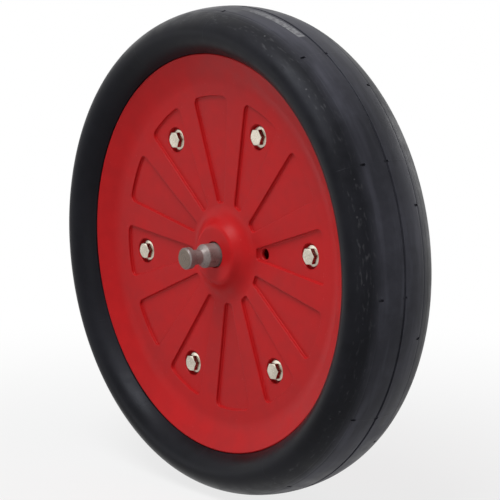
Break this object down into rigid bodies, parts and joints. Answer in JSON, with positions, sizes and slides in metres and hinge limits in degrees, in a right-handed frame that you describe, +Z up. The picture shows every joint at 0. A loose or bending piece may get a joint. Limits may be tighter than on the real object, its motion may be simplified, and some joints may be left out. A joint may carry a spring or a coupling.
{
  "type": "planter press wheel",
  "caption": "Hollow rubber tyre clamped between dished, bolted rim halves on sealed ball bearings, with a stub axle and locking neck, for pressing seed rows closed behind a planter.",
  "frame": {"origin": "centre of the wheel, where the axle's axis crosses the tyre's middle plane", "axes": "+Y along the axle from its free stub towards the wheel's rear, +Z up, +X to the right as seen from the stub's side"},
  "size_m": [0.33, 0.0805, 0.33],
  "materials": {
    "tyre_rubber": "moulded black rubber, satin, with fine mould marks",
    "rim_plastic": "red moulded nylon, satin",
    "plated_steel": "bright zinc plate",
    "lock_nylon": "moulded nylon",
    "turned_steel": "turned steel with fine lathe lines",
    "spring_steel": "phosphated spring steel",
    "bearing_steel": "ground and polished",
    "cage_nylon": "moulded nylon",
    "seal_rubber": "moulded seal rubber"
  },
  "bodies": {
    "axle_body": {"axle": "turned_steel", "bearing_spacer": "turned_steel", "front_circlip": "spring_steel", "rear_circlip": "spring_steel", "front_inner_ring": "bearing_steel", "rear_inner_ring": "bearing_steel"},
    "wheel": {"tyre": "tyre_rubber", "front_rim": "rim_plastic", "rear_rim": "rim_plastic", "rim_bolts": "plated_steel", "rim_nuts": "plated_steel", "nut_lock_rings": "lock_nylon", "front_outer_ring": "bearing_steel", "rear_outer_ring": "bearing_steel", "front_dust_seal": "seal_rubber", "front_inner_seal": "seal_rubber", "rear_dust_seal": "seal_rubber", "rear_inner_seal": "seal_rubber"},
    "ball_set": {"front_balls": "bearing_steel", "front_cage": "cage_nylon", "rear_balls": "bearing_steel", "rear_cage": "cage_nylon"}
  },
  "joints": [
    {"name": "wheel_spin", "type": "hinge", "parent": "axle_body", "child": "wheel", "pos_m": [0, 0, 0], "axis": [0, 1, 0], "continuous": true},
    {"name": "ball_orbit", "type": "hinge", "parent": "axle_body", "child": "ball_set", "pos_m": [0, 0, 0], "axis": [0, 1, 0], "continuous": true}
  ],
  "couplings": [
    {"joint": "ball_orbit", "follows": "wheel_spin", "ratio": 0.6184}
  ]
}
